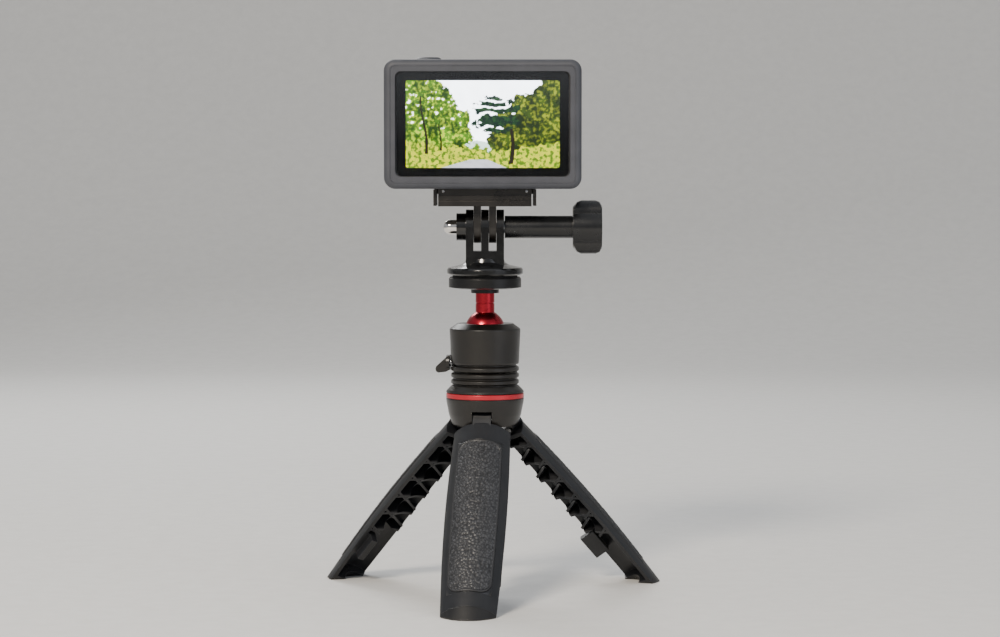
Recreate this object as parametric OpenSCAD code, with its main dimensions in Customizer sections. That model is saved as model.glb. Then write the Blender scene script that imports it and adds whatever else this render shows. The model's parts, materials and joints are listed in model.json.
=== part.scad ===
// Action camera in a silicone sleeve, held by a quick-release clip on a small ball-head grip with three folding legs.
// Origin: on the ground under the grip's axis. +Z is up, the screen faces -Y and the lens faces +Y.

/* [Camera] */
// Width of the camera body
cam_w = 71; // [64:1:90]
// Height of the camera body
cam_h = 44; // [42:1:60]
// Depth of the camera body
cam_d = 32; // [30:1:40]
// Sideways offset of the camera from the grip's axis
cam_x = -0.8; // [-2:0.1:2]
// Wall of the camera housing
wall = 1.6; // [1.3:0.1:2]
// Width of the screen picture area
screen_w = 61; // [50:0.5:62]
// Height of the screen picture area
screen_h = 34.7; // [28:0.5:36]
// Radius of the lens barrel
lens_r = 8.5; // [7:0.1:10.2]
// Width of the square lens surround
lens_ring_w = 26; // [24:0.5:27]
// Travel of the two buttons
button_travel = 0.6; // [0.3:0.1:0.6]

/* [Sleeve] */
// Side wall of the silicone sleeve
sleeve_wall = 3.5; // [2.5:0.1:4.5]
// Lip of the sleeve over the front and back of the camera
sleeve_lip = 2; // [1.5:0.1:3]
// Outer corner radius of the sleeve
sleeve_corner = 4.5; // [3:0.1:7]
// Rounding of the sleeve's rims
sleeve_round = 2.4; // [1:0.1:3]
// How far the sleeve covers the edge of the screen side
sleeve_cover = 1.1; // [0.5:0.1:2]

/* [Clip] */
// Width of the quick-release clip
clip_w = 40.8; // [38:0.2:46]
// Depth of the clip
clip_d = 24; // [20:1:26]
// Height of the clip
clip_h = 6.9; // [7:0.1:9]
// Radius of the claw pins
claw_pin_r = 0.5; // [0.5:0.05:0.7]

/* [Finger joint] */
// Thickness of each adapter finger
finger_t = 3; // [2.6:0.1:3.6]
// Thickness of each clip prong
prong_t = 2.9; // [2.5:0.1:3.5]
// Side gap between a prong and a finger
finger_gap = 0.1; // [0.08:0.01:0.2]
// Radius of an adapter finger
finger_r = 7; // [6.2:0.1:8]
// Radius of the joint bolt
bolt_r = 2.5; // [2:0.1:3]
// Height of the joint bolt above the adapter's foot
finger_h = 19.1; // [18:0.1:24]
// Length of the thumbscrew shank beside the fingers
shank_l = 27.2; // [18:0.1:34]
// Length of the thumbscrew knob
knob_l = 11.6; // [9:0.1:14]
// Tip radius of the thumbscrew knob
knob_r = 10.7; // [9:0.1:12]

/* [Ball head] */
// Radius of the ball
ball_r = 8; // [7:0.1:9.6]
// Radius of the stem
stem_r = 3.8; // [3:0.1:4.2]
// Height of the stem's top above the ball centre
stem_h = 14.8; // [13:0.1:18]
// Radius of the camera platform
platform_r = 14.5; // [12:0.1:15.1]
// Height of the camera platform disc
platform_h = 4.7; // [4.5:0.1:7]
// Radius of the adapter flange
flange_r = 15.2; // [13:0.1:15.8]
// Wall of the ball housing around the cup
head_wall = 4.15; // [3:0.1:5]

/* [Mast and hub] */
// Radius of the mast tube
mast_r = 5.8; // [5.2:0.1:6]
// Lift of the mast
mast_lift = 45; // [20:1:45]
// Height of the twist collar
collar_h = 8; // [7:0.1:12]
// Outer radius of the red ring and the hub's top
ring_r = 15.6; // [15:0.1:17]
// Height of the red ring
ring_h = 2.1; // [1.2:0.1:3]

/* [Legs] */
// Length of a leg from its hinge to the ground
leg_length = 96; // [80:1:130]
// Angle of the open legs from vertical
leg_spread = 43; // [38:1:48]
// Turn of the legs about the grip's axis
leg_turn = 5; // [0:1:60]
// Radius of the folded legs at the top
leg_r = 12.9; // [12.5:0.1:13.5]
// Swell of the folded legs at the middle
leg_swell = 1.5; // [0:0.1:2]
// Shell thickness of a leg
leg_wall = 1.6; // [1.2:0.1:2]
// Angle of the circle that one leg fills
leg_sector = 117; // [108:1:118]
// Distance of the leg hinges from the grip's axis
hinge_r = 10.5; // [10.4:0.1:11]
// Width of a leg's hinge tab
tab_w = 7.3; // [5:0.1:9]
// Radius of the hinge knuckle
knuckle_r = 2.9; // [2.4:0.1:3.1]

/* [Hidden] */
run = 0.05;
snug = 0.02;
part_gap = 0.3;
e = 0.1;
$fn = 64;

// Levels, from the ground up
hinge_z = leg_length * cos(leg_spread);
hub_bottom_z = hinge_z - 3;
hub_top_z = hinge_z + knuckle_r + 5;
ring_top_z = hub_top_z + ring_h;
collar_z = ring_top_z + part_gap;
head_z = collar_z + collar_h + part_gap;
cup_z = head_z + 7.4;
ball_z = cup_z + ball_r + 1.2;
head_top_z = ball_z + 2.6;
platform_z = ball_z + stem_h;
collar_step = 1.8;
pad_z = platform_z + collar_step + platform_h;
adapter_z = pad_z + 0.75;
pivot_z = adapter_z + finger_h;
clip_z = pivot_z + 8.45;
cam_z = clip_z + clip_h + run + sleeve_wall + cam_h / 2;

// Camera stations, from the camera's centre
back_y = -cam_d / 2;
front_y = cam_d / 2;
split_y = back_y + 12;
boss_x = cam_w / 2 - 4;
boss_z = cam_h / 2 - 4;
glass_t = 0.9;
glass_w = cam_w - 3.2;
glass_h = cam_h - 3;
bezel_y = back_y + glass_t + e;
board_y = bezel_y + wall + 2;
lens_x = cam_w / 2 - 19.5;
lens_z = cam_h / 2 - 16;
screen2_w = 26;
screen2_x = lens_x - 31;
lens_ring_d = 4.5;
shutter_x = -cam_w / 2 + 14;
shutter_r = 4.9;
power_z = -cam_h / 2 + 8.7;
power_y = split_y + 6;
speaker_x = cam_w / 2 - 11.5;
speaker_z = -cam_h / 2 + 9;
battery_w = 35;
battery_h = cam_h - 15;
battery_d = 12.5;
battery_x = -cam_w / 2 + 3.5;
battery_y = -battery_d / 2 + 0.25;
door_h = battery_h + 0.6;
door_y0 = -9;
door_hinge_y = 9.5;
door_hinge_x = -cam_w / 2 + wall / 2;
door_pin_r = 0.4;
knuckle_h = 18;

// Clip stations
claw_x = clip_w / 2 - 3.9;
claw_z = clip_z + clip_h - 0.9;
claw_boss_r = 1.5;
claw_strip_t = 1.2;
claw_d = 6;

// Finger joint stations
joint_w = 3 * finger_t + 2 * prong_t + 4 * finger_gap;
joint_x = joint_w / 2;
prong_x = finger_t / 2 + finger_gap;
prong_r = finger_r - 0.6;
nut_boss_l = 3.8;
shank_r = bolt_r + 2;
shank_x = joint_x + part_gap;
knob_x = shank_x + shank_l;

// Ball head stations
cup_r = ball_r + 2;
head_r = cup_r + run + head_wall;
cup_stem_r = mast_r - 1.3;
lock_turn = 172;
lock_screw_r = 1.5;
rib_r = head_r - 0.55;
groove_d = 1.2;
lever_x = head_r - 0.15;
lever_l = 5.8;
lock_z = head_z + 3.4;

// Mast and hub stations
bush_r = mast_r + 0.95;
spigot_r = 9.5;
mast_bottom_z = hub_bottom_z + 4 - mast_lift;
mast_top_z = head_z + 5.8;
pin_r = 1.2;
pin_l = 12.8;

// Leg stations, measured down the leg from its hinge
leg_top_w = 3.7;
leg_foot_w = leg_length - 5;
leg_steps = 8;
pad_w0 = 12;
pad_w1 = leg_length - 11.5;
pad_sector = 0.69 * leg_sector;
rib_pitch = 10;
rib_end_w = leg_length - 33;
tongue_w = leg_length - 32;
tongue_l = 11;
tongue_reach = 3.6;

LEG_ANGLES = [-90 - leg_turn, 150 - leg_turn, 30 - leg_turn];

// ---- Shared shapes ----

module rounded_rect(w, h, r) {
    square([w - 2 * r, h], center = true);
    square([w, h - 2 * r], center = true);
    for (x = [-1, 1], y = [-1, 1])
        translate([x * (w / 2 - r), y * (h / 2 - r)]) circle(r);
}

// A plate seen from the front, filling y0 to y1
module slab(w, h, r, y0, y1) {
    translate([0, y1, 0]) rotate([90, 0, 0]) linear_extrude(y1 - y0) rounded_rect(w, h, r);
}

// A box between two corners
module span(a, b) {
    translate(a) cube(b - a);
}

module rod_x(r, x0, x1) {
    translate([x0, 0, 0]) rotate([0, 90, 0]) cylinder(r = r, h = x1 - x0);
}

module rod_y(r, y0, y1) {
    translate([0, y0, 0]) rotate([-90, 0, 0]) cylinder(r = r, h = y1 - y0);
}

module rod_z(r, z0, z1) {
    translate([0, 0, z0]) cylinder(r = r, h = z1 - z0);
}

module in_camera() {
    translate([cam_x, 0, cam_z]) children();
}

module at_corners(x, z) {
    for (sx = [-1, 1], sz = [-1, 1]) translate([sx * x, 0, sz * z]) children();
}

// ---- Camera housing ----

module door_opening(margin) {
    span([-cam_w / 2 - e, door_y0 - margin, -door_h / 2 - margin],
         [-cam_w / 2 + wall + e, door_hinge_y - 0.6, door_h / 2 + margin]);
    span([-cam_w / 2 - e, door_hinge_y - 1, -knuckle_h / 2 - margin],
         [-cam_w / 2 + wall + e, door_hinge_y + 1.1, knuckle_h / 2 + margin]);
}

module housing_shell(y0, y1) {
    slab(cam_w, cam_h, 3, y0, y1);
}

module housing_cavity(y0, y1) {
    slab(cam_w - 2 * wall, cam_h - 2 * wall, 1.4, y0, y1);
}

module front_housing() {
    color("#1b1c1f") in_camera() difference() {
        union() {
            difference() {
                housing_shell(split_y + run, front_y);
                housing_cavity(split_y - e, front_y - wall);
            }
            at_corners(boss_x, boss_z) rod_y(2.8, split_y + run, front_y - wall / 2);
            for (s = [-1, 1])
                span([-cam_w / 2 + wall / 2, split_y + run, s * (battery_h / 2 + 0.7) - 0.5],
                     [battery_x + battery_w + 1, 9, s * (battery_h / 2 + 0.7) + 0.5]);
            span([battery_x + battery_w + 0.2, split_y + run, -battery_h / 2 - 1],
                 [battery_x + battery_w + 1.2, 9, battery_h / 2 + 1]);
        }
        at_corners(boss_x, boss_z) {
            rod_y(1.05, split_y - e, 6);
            rod_y(1.95, 1.5, front_y + e);
        }
        translate([lens_x, 0, lens_z]) rod_y(lens_r + snug, 0, front_y + e);
        translate([screen2_x, 0, 0]) slab(screen2_w + 2 * snug, screen2_w + 2 * snug, 2, front_y - 1, front_y + e);
        translate([speaker_x, 0, speaker_z]) {
            rod_y(0.5, front_y - wall - e, front_y + e);
            for (a = [0 : 60 : 300])
                rotate([0, a, 0]) translate([2.2, 0, 0]) rod_y(0.5, front_y - wall - e, front_y + e);
        }
        translate([shutter_x, 0, 0]) rod_z(2.9 + run, cam_h / 2 - wall - e, cam_h / 2 + e);
        translate([0, power_y, power_z]) rod_x(1.9 + run, cam_w / 2 - wall - e, cam_w / 2 + e);
        for (s = [-1, 1]) mirror([s > 0 ? 0 : 1, 0, 0])
            span([claw_x - s * cam_x - 0.6, -claw_d / 2 - 0.4, -cam_h / 2 - e],
                 [claw_x - s * cam_x + 1.7, claw_d / 2 + 0.4, -cam_h / 2 + wall + e]);
        door_opening(part_gap);
        translate([door_hinge_x, door_hinge_y, 0])
            rod_z(door_pin_r + snug, -knuckle_h / 2 - 2, knuckle_h / 2 + 2);
    }
}

module rear_housing() {
    color("#1d1e21") in_camera() difference() {
        union() {
            difference() {
                housing_shell(back_y, split_y);
                housing_cavity(bezel_y + wall, split_y + e);
            }
            at_corners(boss_x, boss_z) rod_y(2.6, bezel_y + wall / 2, split_y);
        }
        slab(glass_w + 2 * run, glass_h + 2 * run, 2.4, back_y - e, bezel_y);
        slab(screen_w + 0.8, screen_h + 0.8, 0.8, bezel_y - e, bezel_y + wall + e);
        at_corners(boss_x, boss_z) rod_y(1 + snug, split_y - 7.4, split_y + e);
        door_opening(part_gap);
    }
}

module housing_screws() {
    color("#8d9094") in_camera() at_corners(boss_x, boss_z) {
        difference() {
            union() {
                rod_y(1, split_y - 7, 1.6);
                rod_y(1.8, 1.55, 2.9);
            }
            rotate([90, 0, 0]) translate([0, 0, -3]) cylinder(r = 0.9, h = 0.8, $fn = 6);
        }
    }
}

// ---- Sleeve ----

module sleeve_corner_post(depth) {
    rotate([90, 0, 0]) rotate_extrude($fn = 32) {
        square([sleeve_corner - sleeve_round, depth], center = false);
        translate([0, sleeve_round]) square([sleeve_corner, depth - 2 * sleeve_round]);
        for (z = [sleeve_round, depth - sleeve_round]) intersection() {
            translate([sleeve_corner - sleeve_round, z]) circle(sleeve_round, $fn = 32);
            square([sleeve_corner, depth]);
        }
    }
}

module sleeve_block() {
    w = cam_w + 2 * sleeve_wall;
    h = cam_h + 2 * sleeve_wall;
    d = cam_d + 2 * sleeve_lip;
    hull() at_corners(w / 2 - sleeve_corner, h / 2 - sleeve_corner)
        translate([0, d / 2, 0]) sleeve_corner_post(d);
}

module protective_sleeve() {
    out_x = cam_w / 2 + sleeve_wall + 1;
    out_y = cam_d / 2 + sleeve_lip + 1;
    out_z = cam_h / 2 + sleeve_wall + 1;
    color("#62646b") in_camera() difference() {
        sleeve_block();
        slab(cam_w + 2 * snug, cam_h + 2 * snug, 3, back_y - snug, front_y + snug);
        slab(cam_w - 2 * sleeve_cover + 0.2, cam_h - 2 * sleeve_cover - 0.3, 2.4, -out_y, 0);
        translate([lens_x, 0, lens_z]) slab(lens_ring_w + 0.8, lens_ring_w + 0.8, 5.4, 0, out_y);
        translate([screen2_x, 0, 0]) slab(screen2_w + 1, screen2_w + 1, 3, 0, out_y);
        translate([speaker_x, 0, speaker_z]) slab(6.6, 2, 0.95, 0, out_y);
        translate([shutter_x, 0, 0]) rod_z(shutter_r + 0.4, 0, out_z);
        translate([0, power_y, 0]) span([0, -2.9, power_z - 6.4], [out_x, 2.9, power_z + 6.4]);
        span([-out_x, door_y0 - 1.4, -door_h / 2 - 1], [0, door_hinge_y + 2.7, door_h / 2 + 1]);
        span([-claw_x - 3 - cam_x, -6, -out_z], [claw_x + 3 - cam_x, 6, 0]);
    }
}

// ---- Screen side ----

module touchscreen_glass() {
    color("#0a0b0d") in_camera() slab(glass_w, glass_h, 2.35, back_y, back_y + glass_t);
}

module display_panel() {
    color("#2a3a2c") in_camera()
        slab(screen_w, screen_h, 0.5, back_y + glass_t + run, bezel_y + 1.4);
}

module heat_spreader() {
    color("#c08a5a") in_camera()
        slab(2 * boss_x - 7, 2 * boss_z - 2, 1, bezel_y + wall + 0.4, bezel_y + wall + 0.9);
}

module main_board() {
    color("#1f5a3a") in_camera() {
        slab(2 * boss_x - 6, 2 * boss_z + 1, 1, board_y, board_y + 1.2);
        translate([lens_x, board_y + 1, lens_z]) {
            span([-26, 0, -14], [-14, 1.6, -2]);
            span([-30, 0, 1], [-20, 1.2, 7]);
            span([-10, 0, -20], [2, 1.4, -13]);
            for (z = [-16 : 4 : 4]) span([6, 0, z], [8.5, 1, z + 2]);
        }
    }
}

// ---- Lens side ----

module sensor_module() {
    color("#2c5c50") in_camera() translate([lens_x, 0, lens_z]) {
        slab(15, 15, 0.6, -5.4, -2.1);
        span([-2, board_y + 1.2 + run, -2], [2, -5, 2]);
    }
}

module lens_barrel() {
    color("#202226") in_camera() translate([lens_x, 0, lens_z]) difference() {
        rod_y(lens_r, -2, front_y + 1);
        rod_y(lens_r - 3.5, -3, front_y + 2);
        rod_y(lens_r - 1.3, 5, front_y + 2);
    }
}

module lens_elements() {
    color("#6e7fa0") in_camera() translate([lens_x, 0, lens_z]) {
        rod_y(lens_r - 3.5 - snug, 1, 3.2);
        rod_y(lens_r - 1.3 - snug, 5.2, 7.4);
        difference() {
            intersection() {
                rod_y(lens_r - 1.3 - snug, 10, front_y + 1.6);
                translate([0, front_y - 12.4, 0]) sphere(14);
            }
            translate([0, 1, 0]) sphere(10);
        }
    }
}

module lens_ring() {
    color("#2b2d31") in_camera() translate([lens_x, 0, lens_z]) difference() {
        slab(lens_ring_w, lens_ring_w, 5, front_y, front_y + lens_ring_d);
        rod_y(lens_r + 1, front_y - e, front_y + lens_ring_d + e);
        rod_y(lens_r + 2.1, front_y + lens_ring_d - 1.3, front_y + lens_ring_d + e);
    }
}

module lens_window() {
    color("#40506a") in_camera() translate([lens_x, 0, lens_z])
        rod_y(lens_r + 2.1 - snug, front_y + lens_ring_d - 1.25, front_y + lens_ring_d - 0.15);
}

module front_screen() {
    color("#101216") in_camera() translate([screen2_x, 0, 0])
        slab(screen2_w, screen2_w, 2, front_y - 0.95, front_y);
}

// ---- Inside ----

module battery() {
    color("#2f4f7f") in_camera()
        span([battery_x, battery_y, -battery_h / 2], [battery_x + battery_w, battery_y + battery_d, battery_h / 2]);
}

module speaker() {
    color("#55585c") in_camera() translate([speaker_x, 0, speaker_z])
        rod_y(4.2, front_y - wall - 4, front_y - wall - snug);
}

module memory_card() {
    color("#20222a") in_camera()
        span([-cam_w / 2 + 2.4, battery_y - 1.4, -2], [-cam_w / 2 + 17.4, battery_y - 0.4, 9]);
}

module usb_socket() {
    color("#a9abb0") in_camera() difference() {
        span([-cam_w / 2 + 2.3, board_y + 1.2 + run, -13], [-cam_w / 2 + 9.6, battery_y - 0.5, -4]);
        span([-cam_w / 2 + 2, board_y + 1.8, -12.4], [-cam_w / 2 + 8.6, battery_y - 1, -4.6]);
    }
}

// ---- Buttons and door ----

module shutter_button() {
    top = cam_h / 2 + sleeve_wall + 1.2;
    color("#5a5c63") in_camera() translate([shutter_x, 0, 0]) {
        rod_z(2.9, cam_h / 2 - wall - 1.8, cam_h / 2 + 1);
        rod_z(shutter_r, cam_h / 2 + button_travel + 0.15, top - 0.6);
        translate([0, 0, top - 0.6]) rotate_extrude() polygon([[0, 0], [shutter_r, 0], [shutter_r - 0.9, 0.6], [0, 0.6]]);
    }
}

module power_button() {
    tip = cam_w / 2 + sleeve_wall + 0.4;
    color("#5a5c63") in_camera() translate([0, power_y, power_z]) {
        rod_x(1.9, cam_w / 2 - wall - 1.6, cam_w / 2 + 1);
        translate([cam_w / 2 + button_travel + 0.15, 0, 0]) rotate([0, 90, 0])
            linear_extrude(tip - cam_w / 2 - button_travel - 0.15) rounded_rect(12, 5, 2.4);
    }
}

module battery_door() {
    x0 = -cam_w / 2;
    color("#1e1f22") in_camera() difference() {
        union() {
            span([x0, door_y0, -door_h / 2], [x0 + wall, door_hinge_y - 1.4, door_h / 2]);
            span([x0 + 0.1, door_hinge_y - 1.5, -knuckle_h / 2], [x0 + wall - 0.1, door_hinge_y, knuckle_h / 2]);
            translate([door_hinge_x, door_hinge_y, 0]) rod_z(wall / 2, -knuckle_h / 2, knuckle_h / 2);
        }
        span([x0 - e, door_y0 + 1.3, -5.2], [x0 + 0.7, door_y0 + 4.7, 7.2]);
        translate([door_hinge_x, door_hinge_y, 0]) rod_z(door_pin_r + run, -knuckle_h, knuckle_h);
    }
}

module door_seal() {
    x0 = -cam_w / 2 + wall;
    color("#7c3030") in_camera() difference() {
        span([x0, door_y0 + 0.6, -door_h / 2 + 0.6], [x0 + 0.5, door_hinge_y - 1.8, door_h / 2 - 0.6]);
        span([x0 - e, door_y0 + 1.6, -door_h / 2 + 1.6], [x0 + 1, door_hinge_y - 2.8, door_h / 2 - 1.6]);
    }
}

module door_latch() {
    x0 = -cam_w / 2;
    color("#34363b") in_camera() {
        span([x0 - 0.2, door_y0 + 1.35, -5.1], [x0 + 0.65, door_y0 + 4.65, 5.1]);
        for (z = [-3 : 1.5 : 3]) span([x0 - 0.6, door_y0 + 1.8, z - 0.3], [x0, door_y0 + 4.2, z + 0.3]);
    }
}

module door_pin() {
    color("#a0a3a8") in_camera() translate([door_hinge_x, door_hinge_y, 0])
        rod_z(door_pin_r, -knuckle_h / 2 - 1.9, knuckle_h / 2 + 1.9);
}

// ---- Quick-release clip ----

module clip_plate() {
    body_x = clip_w / 2 - claw_strip_t - 0.7;
    groove_z = clip_z + 2.15;
    color("#1a1b1d") difference() {
        union() {
            span([-body_x, -clip_d / 2, groove_z + 0.6], [body_x, clip_d / 2, groove_z + 2]);
            span([-body_x, -clip_d / 2 + 0.6, clip_z], [body_x, clip_d / 2 - 0.6, clip_z + clip_h]);
            span([-body_x, -clip_d / 2, clip_z], [body_x, clip_d / 2, groove_z]);
            for (s = [-1, 1]) mirror([s > 0 ? 0 : 1, 0, 0]) translate([0, 0, pivot_z]) {
                rod_x(prong_r, prong_x, prong_x + prong_t);
                span([prong_x, -prong_r, 0], [prong_x + prong_t, prong_r, clip_z - pivot_z + 1]);
            }
        }
        translate([0, 0, pivot_z]) rod_x(bolt_r + run, -joint_x, joint_x);
        for (s = [-1, 1]) mirror([s > 0 ? 0 : 1, 0, 0]) {
            span([claw_x - 2.2, -claw_d / 2 - 1.4, claw_z - 2.4], [clip_w, claw_d / 2 + 1.4, clip_z + clip_h + e]);
            translate([claw_x, 0, claw_z]) rod_y(claw_pin_r + snug, -clip_d / 2 - e, clip_d / 2 + e);
            translate([claw_x - 8.5, 0, 0]) rod_z(3 + snug, clip_z + clip_h - 1.6, clip_z + clip_h + e);
        }
    }
}

module clip_claw(side) {
    hook_z = cam_z - cam_h / 2 + wall + 0.15;
    color("#26272a") mirror([side > 0 ? 0 : 1, 0, 0]) difference() {
        union() {
            span([clip_w / 2 - claw_strip_t, -clip_d / 2 + 0.3, clip_z + 0.2],
                 [clip_w / 2, clip_d / 2 - 0.3, clip_z + clip_h - 0.3]);
            span([claw_x, -claw_d / 2 - 1, claw_z - 1.2], [clip_w / 2 - 0.5, claw_d / 2 + 1, claw_z + 0.8]);
            translate([claw_x, 0, claw_z]) rod_y(claw_boss_r, -claw_d / 2 - 1, claw_d / 2 + 1);
            span([claw_x - 0.5, -claw_d / 2, claw_z], [claw_x + 0.9, claw_d / 2, hook_z + 1.2]);
            translate([0, claw_d / 2, 0]) rotate([90, 0, 0]) linear_extrude(claw_d)
                polygon([[claw_x, hook_z], [claw_x - 1, hook_z], [claw_x - 0.5, hook_z + 1.2], [claw_x, hook_z + 1.2]]);
        }
        translate([claw_x, 0, claw_z]) rod_y(claw_pin_r + run, -clip_d, clip_d);
    }
}

module clip_claw_left() {
    clip_claw(-1);
}

module clip_claw_right() {
    clip_claw(1);
}

module claw_pins() {
    color("#c9ccd0") for (s = [-1, 1])
        translate([s * claw_x, 0, claw_z]) rod_y(claw_pin_r, 0.5 - clip_d / 2, clip_d / 2 - 0.5);
}

module clip_magnets() {
    color("#9a9da2") for (s = [-1, 1])
        translate([s * (claw_x - 8.5), 0, 0]) rod_z(3, clip_z + clip_h - 1.55, clip_z + clip_h - 0.05);
}

// ---- Finger joint ----

module mount_adapter() {
    floor_h = finger_h - finger_r - 2.4;
    color("#141517") translate([0, 0, adapter_z]) difference() {
        union() {
            rotate_extrude() polygon([[0, 0], [flange_r - 0.6, 0], [flange_r, 0.6], [flange_r, 2.2],
                [flange_r - 0.5, 2.9], [9.6, 4.1], [8, 5.1], [7.5, 6.6], [0, 6.6]]);
            span([-joint_x, -finger_r, 3], [joint_x, finger_r, floor_h]);
            for (x = [-joint_x, -finger_t / 2, joint_x - finger_t]) {
                span([x, -finger_r, floor_h - 1], [x + finger_t, finger_r, finger_h]);
                translate([0, 0, finger_h]) rod_x(finger_r, x, x + finger_t);
            }
            translate([0, 0, finger_h]) rod_x(bolt_r + 3, -joint_x - nut_boss_l, -joint_x + 1);
        }
        translate([0, 0, finger_h]) {
            rod_x(bolt_r + run, -joint_x - 2, joint_x + e);
            translate([-joint_x - nut_boss_l - e, 0, 0]) rotate([0, 90, 0])
                cylinder(r = bolt_r + 2.15, h = nut_boss_l - 0.5, $fn = 6);
        }
        rod_z(5 + snug, -e, 5);
        rod_z(3.6, 0, 5.6);
    }
}

module threaded_insert() {
    color("#b8923f") translate([0, 0, adapter_z]) difference() {
        union() {
            rod_z(5, 0.2, 2.1);
            rod_z(4.6, 2, 2.9);
            rod_z(5, 2.8, 4.8);
        }
        rod_z(3.175 + run, 0, 5);
    }
}

module dome_nut() {
    dome_x = -joint_x - nut_boss_l - 2.4;
    color("#d7d9dc") translate([0, 0, pivot_z]) difference() {
        union() {
            translate([-joint_x - nut_boss_l + 0.2, 0, 0]) rotate([0, 90, 0])
                cylinder(r = bolt_r + 2.1, h = nut_boss_l - 0.9, $fn = 6);
            rod_x(bolt_r + 0.4, dome_x, -joint_x - nut_boss_l + 0.3);
            translate([dome_x, 0, 0]) sphere(bolt_r + 0.4);
        }
        rod_x(bolt_r + run, dome_x - 0.2, -joint_x);
    }
}

module thumbscrew_bolt() {
    color("#b4b7bb") translate([0, 0, pivot_z])
        rod_x(bolt_r, -joint_x - nut_boss_l - 2.2, shank_x + 20);
}

module knob_outline() {
    reach = knob_r - 4.6;
    circle(knob_r - 3.6);
    for (s = [-1, 1]) {
        translate([s * reach, 0]) circle(4.6);
        translate([s * reach / 2, 0]) square([reach, 9.2], center = true);
    }
}

module thumbscrew_knob() {
    color("#1c1d1f") translate([0, 0, pivot_z]) difference() {
        union() {
            rod_x(shank_r, shank_x, knob_x + 1);
            intersection() {
                translate([knob_x, 0, 0]) rotate([0, 90, 0]) linear_extrude(knob_l) knob_outline();
                translate([knob_x, 0, 0]) rotate([0, 90, 0]) rotate_extrude() polygon([
                    [0, 0], [knob_r - 2.6, 0], [knob_r - 0.7, 1.6], [knob_r, 3.4], [knob_r, knob_l - 2.6],
                    [knob_r - 0.6, knob_l - 0.9], [knob_r - 2.2, knob_l], [0, knob_l]]);
            }
        }
        rod_x(bolt_r + snug, shank_x - e, shank_x + 20.1);
    }
}

// ---- Ball head ----

module camera_platform() {
    disc_z = collar_step;
    top = collar_step + platform_h;
    color("#161719") translate([0, 0, platform_z]) difference() {
        rotate_extrude() polygon([[0, 0], [stem_r + 1.8, 0], [stem_r + 1.8, disc_z], [platform_r - 3, disc_z],
            [platform_r, disc_z + 0.5], [platform_r, top - 0.7], [platform_r - 0.6, top], [0, top]]);
        rod_z(2.6 + snug, -e, 2.3);
        rod_z(3.175 + snug, 2.6, top + e);
    }
}

module platform_pad() {
    color("#2a2a2b") translate([0, 0, pad_z]) difference() {
        rod_z(platform_r - 1.5, 0, 0.6);
        rod_z(3.6, -e, 1);
    }
}

module tripod_screw() {
    color("#b9bcc0") rod_z(3.175, platform_z + 2.7, adapter_z + 4.6);
}

module ball_stem() {
    color("#b3202c") translate([0, 0, ball_z]) difference() {
        union() {
            sphere(ball_r);
            rod_z(stem_r, 0, stem_h);
            rod_z(2.6, stem_h - 1, stem_h + 2.2);
        }
        difference() {
            rod_z(stem_r + 1, stem_h - 4.2, stem_h - 3.8);
            rod_z(stem_r - 0.25, stem_h - 5, stem_h - 3);
        }
    }
}

module ball_cup() {
    color("#d8d3c4") difference() {
        union() {
            rod_z(cup_r, cup_z, ball_z);
            rod_z(cup_stem_r, head_z + 1, cup_z + 0.5);
        }
        translate([0, 0, ball_z]) sphere(ball_r + run);
    }
}

module cup_spring() {
    color("#8f9296") difference() {
        rod_z(cup_r - 0.6, cup_z - 1.25, cup_z - run);
        rod_z(cup_stem_r + 0.6, cup_z - 2, cup_z + 1);
    }
}

module at_lock() {
    rotate([0, 0, lock_turn]) translate([0, 0, lock_z]) children();
}

module ball_housing() {
    top = head_top_z - head_z;
    color("#191a1c") difference() {
        translate([0, 0, head_z]) rotate_extrude() polygon([[0, 0], [rib_r - 0.6, 0], [rib_r, 0.5],
            [rib_r, 1.6], [rib_r - 0.5, 2.1], [rib_r - groove_d, 2.4], [rib_r - groove_d, 2.8], [rib_r - 0.2, 3.1],
            [rib_r, 3.6], [head_r, top - 2.4], [head_r - 0.2, top - 2], [head_r - 2.9, top], [0, top]]);
        rod_z(mast_r + snug, head_z - e, mast_top_z);
        rod_z(cup_stem_r + 0.1, head_z, cup_z);
        rod_z(cup_r + run, cup_z - 1.3, ball_z + run);
        translate([0, 0, ball_z]) sphere(ball_r + run);
        at_lock() rod_x(lock_screw_r + run, 0, head_r + 2);
    }
}

module mast_tube() {
    color("#24262a") difference() {
        rod_z(mast_r, mast_bottom_z, mast_top_z - run);
        rod_z(cup_stem_r + run, mast_bottom_z - e, mast_top_z + e);
        at_lock() rod_x(lock_screw_r + 0.2, 0, mast_r + 1);
    }
}

module lock_screw() {
    color("#b4b7bb") at_lock() rod_x(lock_screw_r, cup_stem_r + 0.2, lever_x + 2.4);
}

module lock_lever() {
    reach = lever_x + lever_l;
    color("#17181a") at_lock() difference() {
        union() {
            rod_x(3.1, lever_x, lever_x + 1.4);
            translate([0, 2, 0]) rotate([90, 0, 0]) linear_extrude(4)
                polygon([[lever_x, -2.9], [lever_x, 2.9], [lever_x + 0.7, 2.8], [reach - 1.2, -0.7], [reach - 0.3, -1.6],
                    [reach, -2.6], [reach - 0.3, -3.6], [reach - 1.2, -4.1], [lever_x + 1.5, -3.7]]);
        }
        rod_x(lock_screw_r + snug, lever_x - e, lever_x + 2.5);
    }
}

// ---- Mast collar and hub ----

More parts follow.
